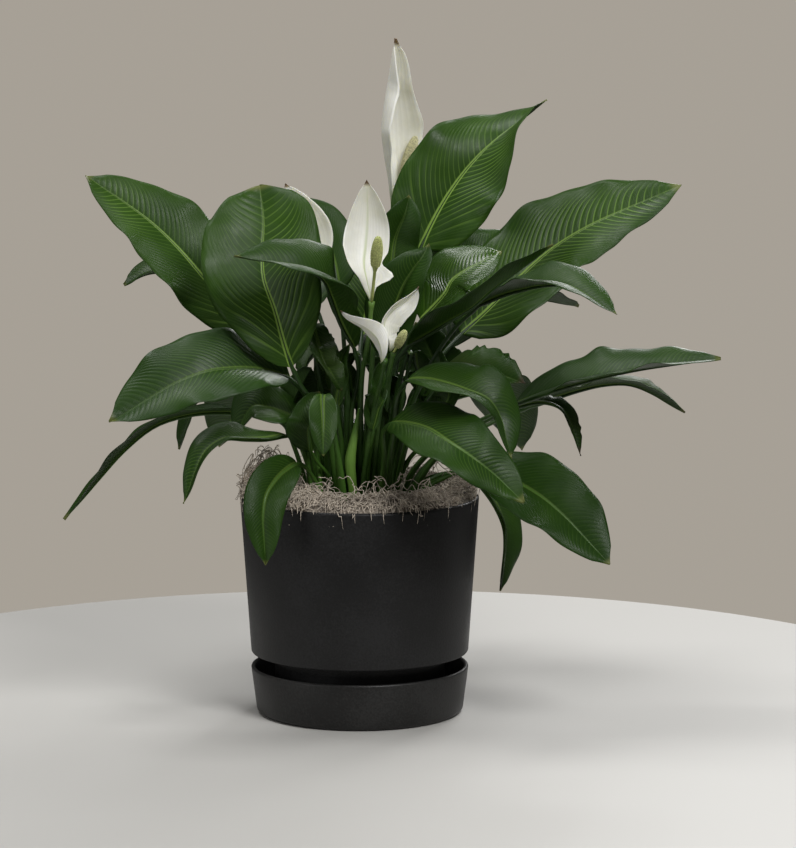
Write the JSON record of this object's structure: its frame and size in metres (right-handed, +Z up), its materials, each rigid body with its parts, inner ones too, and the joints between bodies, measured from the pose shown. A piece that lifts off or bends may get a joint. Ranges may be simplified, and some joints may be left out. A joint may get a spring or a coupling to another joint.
{
  "type": "potted peace lily",
  "caption": "Peace lily with broad glossy leaves and white hooded flowers, planted under dry moss in a tapered matte black pot that stands on a low saucer.",
  "frame": {"origin": "centre of the saucer's flat underside", "axes": "+Z up along the pot's axis, -Y to the front of the plant, +X to its right as seen from the front"},
  "size_m": [0.76, 0.5603, 0.7859],
  "materials": {
    "saucer_glaze": "matte",
    "pot_glaze": "matte",
    "potting_soil": "matte",
    "dry_moss": "matte",
    "leaf_green": "satin",
    "bud_green": "satin",
    "flower_stalk_green": "satin",
    "spathe_white": "satin",
    "spadix_yellow": "matte",
    "clip_green": "matte"
  },
  "bodies": {
    "root": {"saucer": "saucer_glaze", "pot": "pot_glaze", "soil": "potting_soil", "moss": "dry_moss", "leaf_back_high": "leaf_green", "leaf_back_left_low": "leaf_green", "leaf_back_left_upright": "leaf_green", "leaf_back_left_wide": "leaf_green", "leaf_back_low": "leaf_green", "leaf_back_middle": "leaf_green", "leaf_back_right_low": "leaf_green", "leaf_back_right_wide": "leaf_green", "leaf_back_upright": "leaf_green", "leaf_behind_glossy": "leaf_green", "leaf_behind_left": "leaf_green", "leaf_centre_arching": "leaf_green", "leaf_front_small": "leaf_green", "leaf_front_withered": "leaf_green", "leaf_front_young": "leaf_green", "leaf_glossy_middle": "leaf_green", "leaf_left_behind": "leaf_green", "leaf_left_curled": "leaf_green", "leaf_left_drooping": "leaf_green", "leaf_left_hidden": "leaf_green", "leaf_left_high": "leaf_green", "leaf_left_low": "leaf_green", "leaf_left_shaded": "leaf_green", "leaf_left_upright": "leaf_green", "leaf_middle_narrow": "leaf_green", "leaf_middle_short": "leaf_green", "leaf_middle_upright": "leaf_green", "leaf_over_rim": "leaf_green", "leaf_over_rim_right": "leaf_green", "leaf_right_bent": "leaf_green", "leaf_right_front": "leaf_green", "leaf_right_high": "leaf_green", "leaf_right_highest": "leaf_green", "leaf_right_leaning": "leaf_green", "leaf_right_long": "leaf_green", "leaf_right_low": "leaf_green", "leaf_right_nodding": "leaf_green", "leaf_right_ragged": "leaf_green", "leaf_right_thin": "leaf_green", "leaf_right_wisp": "leaf_green", "leaf_rolled": "bud_green", "flower_back_spadix": "spadix_yellow", "flower_back_spathe": "spathe_white", "flower_back_stalk": "flower_stalk_green", "flower_low_left_spathe": "spathe_white", "flower_low_left_stalk": "flower_stalk_green", "flower_low_right_spadix": "spadix_yellow", "flower_low_right_spathe": "spathe_white", "flower_low_right_stalk": "flower_stalk_green", "flower_middle_spadix": "spadix_yellow", "flower_middle_spathe": "spathe_white", "flower_middle_stalk": "flower_stalk_green", "flower_top_spadix": "spadix_yellow", "flower_top_spathe": "spathe_white", "flower_top_stalk": "flower_stalk_green", "stalk_clip": "clip_green"}
  },
  "joints": []
}
